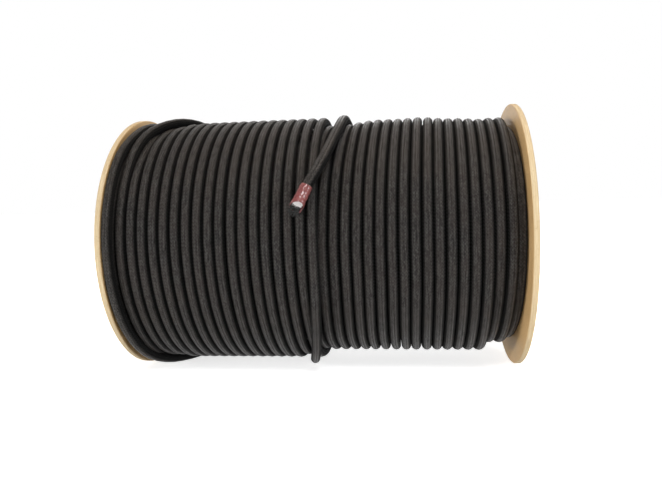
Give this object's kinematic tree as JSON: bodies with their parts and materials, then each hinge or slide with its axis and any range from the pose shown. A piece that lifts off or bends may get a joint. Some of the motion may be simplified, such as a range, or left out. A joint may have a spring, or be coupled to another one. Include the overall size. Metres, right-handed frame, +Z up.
{
  "type": "reel of braided elastic cord",
  "caption": "Shop reel of black braided elastic cord between hardboard flanges on a cardboard tube, with a taped free end and an arbor hole.",
  "frame": {"origin": "middle of the reel's axis, halfway between the flanges", "axes": "+X along the axis towards the right flange, where the lower layer shows; -Y towards the front, where the taped end hangs; +Z up"},
  "size_m": [0.3162, 0.2071, 0.2037],
  "materials": {
    "hardboard": "matt pressed fibre board, paler at its sawn rim",
    "tube_board": "matt kraft",
    "zinc_steel": "zinc plated",
    "cord_braid": "tight black synthetic braid with a faint sheen",
    "red_tape": "glossy adhesive tape with creases",
    "core_rubber": "cut latex strands",
    "loose_braid": "frayed yarn ends"
  },
  "bodies": {
    "root": {"flange_left": "hardboard", "flange_right": "hardboard", "core_tube": "tube_board", "tie_rods": "zinc_steel", "washers_left": "zinc_steel", "washers_right": "zinc_steel", "nuts_left": "zinc_steel", "nuts_right": "zinc_steel", "cord_inner_layers": "cord_braid", "cord_lower_layer": "cord_braid", "cord_top_layer": "cord_braid", "cord_free_end": "cord_braid", "end_tape": "red_tape", "end_core_strands": "core_rubber", "end_braid_fray": "loose_braid"}
  },
  "joints": []
}
